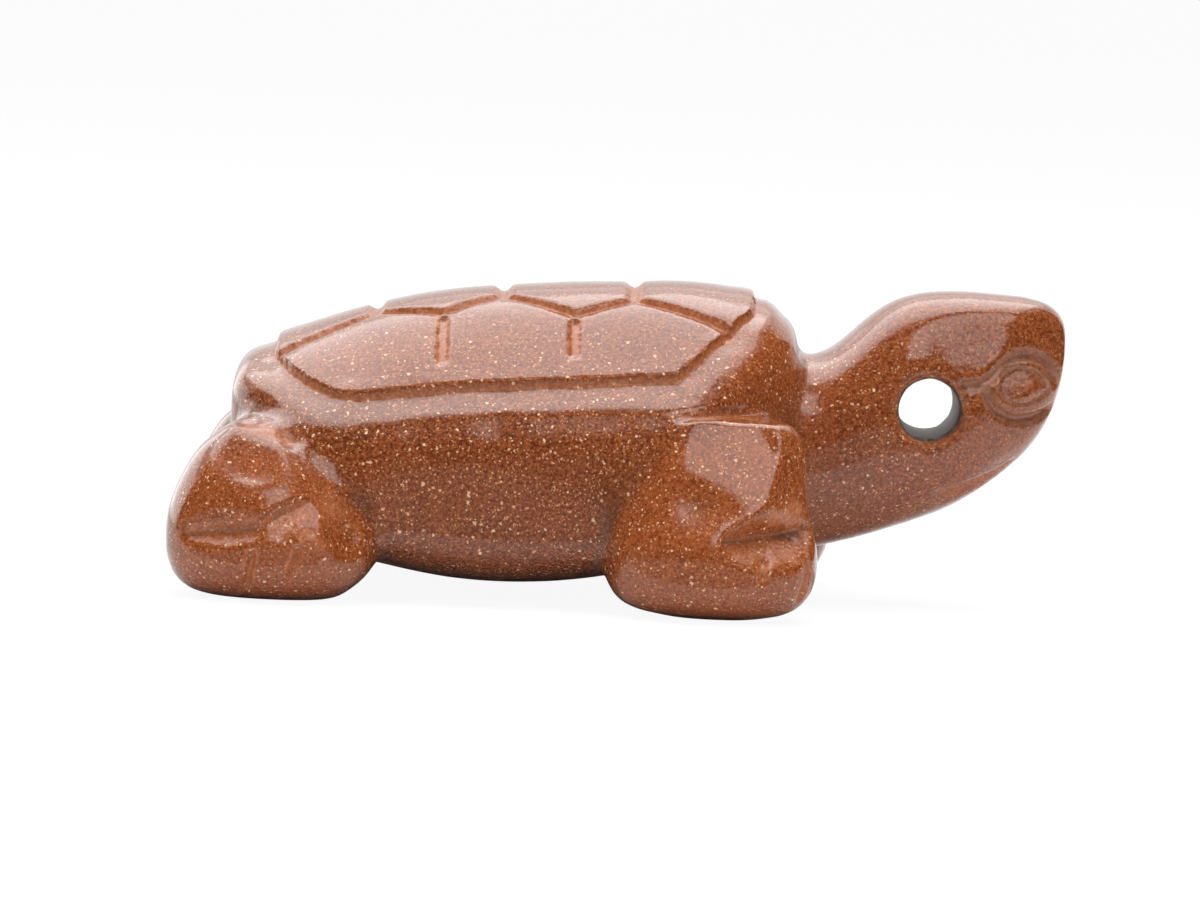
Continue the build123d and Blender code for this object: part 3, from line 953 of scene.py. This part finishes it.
bend_inputs = {"Vector": place, "Scale": 1 / (BEND_SIZE * MM), "Detail": 2.0}
bend = tree.node("TexNoise", {}, bend_inputs, output="Color")
bent = tree.node("VectorMath", {"operation": "MULTIPLY_ADD"}, [bend, (BEND_REACH * MM,) * 3, place])
bright_mask, bright_chance = flecks(0.31, 0.205, 0.05, bent)
fine_mask, fine_chance = flecks(0.15, 0.29, 0.10, bent)
cloud = cloudy(2.4, 3.0, 0.55, 0.6)
grain = cloudy(0.15, 3.0, 0.7)
flow = tree.node("Math", {"operation": "PINGPONG"}, [cloudy(3.2, 1.0, 0.5, 0.5) * 26, 1.0])
print("noise nodes", len(tree.nodes))

# %% The colour of the glass
DEEP, WARM = (0.115, 0.022, 0.005), (0.390, 0.112, 0.036)
DEEP_WARM_AND_LIT, PALE_WARM_AND_LIT = (0.190, 0.038, 0.0085), (0.465, 0.132, 0.040)
FINE_COLOURS = (0.36, 0.11, 0.038), (0.74, 0.35, 0.17)
BRIGHT_COLOURS = (0.52, 0.21, 0.09), (0.98, 0.67, 0.43)
GROUND_COLOURS = (0.42, 0.115, 0.034), (0.70, 0.28, 0.125)
FOLD_SHADE_BROWN = (0.085, 0.046, 0.032, 1.0)
FACE_GREY = (0.30, 0.17, 0.115, 1.0)
BORE_SHADED_GREY = (0.15, 0.092, 0.068, 1.0)


def stored(name):
    """The number stored at every point under a name."""
    return tree.node("Attribute", {"attribute_name": name}, {}, output="Fac")


body = cloud * 0.4 + grain * 3.0 - 1.31
cool_body = tree.ramp(body, [(0.10, DEEP), (0.90, WARM)])
# A lighter, warmer copy of the glass: the feet's own colour, and painted light on the front and the roof.
warm_and_lit_body = tree.ramp(body, [(0.0, DEEP_WARM_AND_LIT), (1.0, PALE_WARM_AND_LIT)])
colour = tree.blend(stored("warmth"), cool_body, warm_and_lit_body)

quiet = stored("quiet")
fine_colour = tree.ramp(fine_chance, [(0.0, FINE_COLOURS[0]), (1.0, FINE_COLOURS[1])])
fine_shown = fine_mask * tree.step(fine_chance + flow * 0.45, 0.42, 0.72) * (0.9 - quiet * 0.35)
colour = tree.blend(fine_shown, colour, fine_colour)
bright_colour = tree.ramp(bright_chance, [(0.0, BRIGHT_COLOURS[0]), (1.0, BRIGHT_COLOURS[1])])
bright_shown = bright_mask * tree.step(bright_chance + flow * 0.30, 0.35, 0.60) * (0.95 - quiet * 0.8)
colour = tree.blend(bright_shown, colour, bright_colour)
print("colour nodes", len(tree.nodes))

# %% The finish of the glass
FACE_X, FACE_Z = (15.3, 16.3), (8.2, 9.0)
BORE_WALL = (0.02, 0.12)

fold = stored("fold")
# The folds are darkened towards brown as painted shade. They are also made a little rougher.
colour = tree.blend(fold * 0.65, colour, FOLD_SHADE_BROWN)
ground = stored("ground")
ground_colour = tree.ramp(grain, [(0.30, GROUND_COLOURS[0]), (0.75, GROUND_COLOURS[1])])
along = tree.node("SeparateXYZ", {}, [place])
height = Wire(tree, along.socket.node.outputs[2])
on_face = tree.step(along, FACE_X[0] * MM, FACE_X[1] * MM)
on_face = on_face * tree.step(height, FACE_Z[0] * MM, FACE_Z[1] * MM)
ground_colour = tree.blend(on_face * 0.75, ground_colour, FACE_GREY)
colour = tree.blend(ground * 0.65, colour, ground_colour)

from_bore_x = along - BORE_X * MM
from_bore_z = height - BORE_Z * MM
squares = from_bore_x * from_bore_x + from_bore_z * from_bore_z
from_bore = tree.node("Math", {"operation": "SQRT"}, [squares])
in_bore = 1 - tree.step(from_bore, *[(BORE_RADIUS + edge) * MM for edge in BORE_WALL])
# Inside the drilled hole the colour is a dark grey: partly its matt drilled wall, partly painted shade in the
# hole.
colour = tree.blend(in_bore * 0.9, colour, BORE_SHADED_GREY)
ripple = cloudy(0.30, 2.0) + bright_mask * 0.3
relief = tree.node("Bump", {}, {"Strength": 1.0, "Distance": 0.012 * MM, "Height": ripple})
tree.use(
    "Principled BSDF",
    {
        "Base Color": colour,
        "Roughness": ground * 0.22 + fold * 0.15 + in_bore * 0.3 + 0.15,
        "Metallic": 0.0,
        "IOR": 1.5,
        "Specular IOR Level": 0.45,
        "Coat Weight": (1 - ground * 0.8) * (1 - in_bore) * 0.35,
        "Coat Roughness": 0.05,
        "Coat IOR": 1.5,
        "Normal": relief,
    },
)
skin.materials.append(glass)
print("glass nodes", len(tree.nodes))

# %% [markdown]
# ## The studio
#
# The photograph is cut out on plain white, but the polish remembers the room: a broad pale ceiling
# over the shell, a window beyond the camera, bright paper in front of the nose, and darkness behind the
# camera. Polished glass is judged by these shapes, so the room is built for its reflections.
#
# The background is white for every ray that looks at it and dimmer for the rays that light the glass.
# The floor is white paper that also glows a little for the camera, so it fades into the background and
# keeps only a soft shadow. A dark curtain stands where the room was dark and a grey card lies in front
# of the feet. Both are seen only in the polish: they cast no shadow and take no light away.

# %% Backdrop
SEEN_WHITE = 1.0
FILL = 0.43
world = bpy.data.worlds.new("studio")
bpy.context.scene.world = world
air = Tree(world)
rays = air.node("LightPath", {}, {}).socket.node.outputs
seen = Wire(air, rays["Is Camera Ray"]) + Wire(air, rays["Is Glossy Ray"])
seen = (seen + Wire(air, rays["Is Transmission Ray"])).clamp()
air.use("Background", {"Color": (1, 1, 1, 1), "Strength": seen * (SEEN_WHITE - FILL) + FILL})
print("backdrop seen at", SEEN_WHITE, "and lighting at", FILL)

# %% Floor
FLOOR_REACH = 4000
FLOOR_GLOW, FLOOR_GLOW_SHARE = 1.05, 0.88


def staged(name, corners, faces):
    """A piece of the studio, which is no part of the object."""
    mesh = bpy.data.meshes.new(name)
    mesh.from_pydata([Vector(corner) * MM for corner in corners], [], faces)
    made = bpy.data.objects.new(name, mesh)
    collection.objects.link(made)
    return made


floor_corners = [(x * FLOOR_REACH, y * FLOOR_REACH, 0) for x, y in ((-1, -1), (1, -1), (1, 1), (-1, 1))]
floor = staged("floor", floor_corners, [(0, 1, 2, 3)])
paper = bpy.data.materials.new("white_paper")
sheet = Tree(paper)
sheet.use("Principled BSDF", {"Base Color": (0.9, 0.9, 0.9, 1), "Roughness": 0.9, "Specular IOR Level": 0.0})
looked_at = sheet.node("LightPath", {}, {})
glow = sheet.node("Emission", {}, {"Color": (1, 1, 1, 1), "Strength": FLOOR_GLOW})
plain = Wire(sheet, sheet.nodes["Principled BSDF"].outputs[0])
white = sheet.node("MixShader", {}, [looked_at * FLOOR_GLOW_SHARE, plain, glow])
sheet.links.new(white.socket, sheet.nodes["Material Output"].inputs["Surface"])
floor.data.materials.append(paper)
print("staged", floor.name)

# %% Curtain and card
CURTAIN_RINGS = ((75, 0.5), (420, 250.5), (170, 1000.5))
CURTAIN_FROM, CURTAIN_TO = -190, 48
CURTAIN_STEPS = 32
CARD_CORNERS = ((-60, -75, 0.3), (60, -75, 0.3), (60, -14, 0.3), (-60, -14, 0.3))
CURTAIN_COLOUR = (0.02, 0.015, 0.012, 1)
CARD_COLOUR = (0.40, 0.38, 0.36, 1)

rings = []
for radius, level in CURTAIN_RINGS:
    for turn in np.radians(np.linspace(CURTAIN_FROM, CURTAIN_TO, CURTAIN_STEPS + 1)):
        rings.append((radius * math.cos(turn), radius * math.sin(turn), level))
row = CURTAIN_STEPS + 1
strips = []
for start in range(0, len(rings) - row, row):
    strips += [(start + i, start + i + 1, start + row + i + 1, start + row + i) for i in range(CURTAIN_STEPS)]
curtain = staged("dark_curtain", rings, strips)
card = staged("grey_card", CARD_CORNERS, [(0, 1, 2, 3)])
for piece, name, piece_colour in ((curtain, "dark_cloth", CURTAIN_COLOUR), (card, "grey_card", CARD_COLOUR)):
    cloth = bpy.data.materials.new(name)
    dull = {"Base Color": piece_colour, "Roughness": 1.0, "Specular IOR Level": 0.0}
    Tree(cloth).use("Principled BSDF", dull)
    piece.data.materials.append(cloth)
    piece.visible_camera = False
    piece.visible_diffuse = False
    piece.visible_shadow = False
print("staged", curtain.name, card.name)

# %% [markdown]
# ## Lamps
#
# Each lamp either lights the glass or shines in its polish, never both. That way the brightness of the
# brown glass and the brightness of the pale reflections can be matched to the photograph one by one.
# The window is two lamps, one inside the other, because daylight fades towards a window's frame.


# %% Lamps
def softbox(name, place, target, size, radiance, shine):
    """A square lamp that either lights the object or shines in its polish."""
    lamp = bpy.data.lights.new(name, "AREA")
    lamp.shape = "RECTANGLE"
    lamp.size = size[0] * MM
    lamp.size_y = size[1] * MM
    lamp.energy = radiance * math.pi * lamp.size * lamp.size_y
    made = bpy.data.objects.new(name, lamp)
    collection.objects.link(made)
    made.location = Vector(place) * MM
    made.rotation_mode = "QUATERNION"
    made.rotation_quaternion = (Vector(target) - Vector(place)).to_track_quat("-Z", "Y")
    made.visible_camera = False
    made.visible_diffuse = not shine
    made.visible_glossy = shine
    return made


def far_place(azimuth, elevation, distance):
    """A place in mm, from its direction in degrees and its distance."""
    turn, rise = math.radians(azimuth), math.radians(elevation)
    level = distance * math.cos(rise)
    return (level * math.cos(turn), level * math.sin(turn), distance * math.sin(rise))


FIGURE = (0, 0, 8)
WINDOW = (-70, 39)
softbox("overhead_shine", (-110, 200, 420), (-110, 200, 0), (580, 500), 2.25, shine=True)
softbox("overhead_halo", (-100, 350, 430), (-100, 350, 0), (720, 900), 0.6, shine=True)
softbox("window_shine", far_place(*WINDOW, 380), FIGURE, (190, 350), 1.8, shine=True)
softbox("window_frame", far_place(*WINDOW, 381), FIGURE, (234, 420), 0.8, shine=True)
softbox("left_shine", far_place(141, 8, 400), FIGURE, (430, 300), 1.3, shine=True)
softbox("overhead_light", (0, -60, 420), FIGURE, (500, 400), 3.3, shine=False)
print("lamps", len(bpy.data.lights))

# %% View transform
bpy.context.scene.view_settings.view_transform = "Standard"
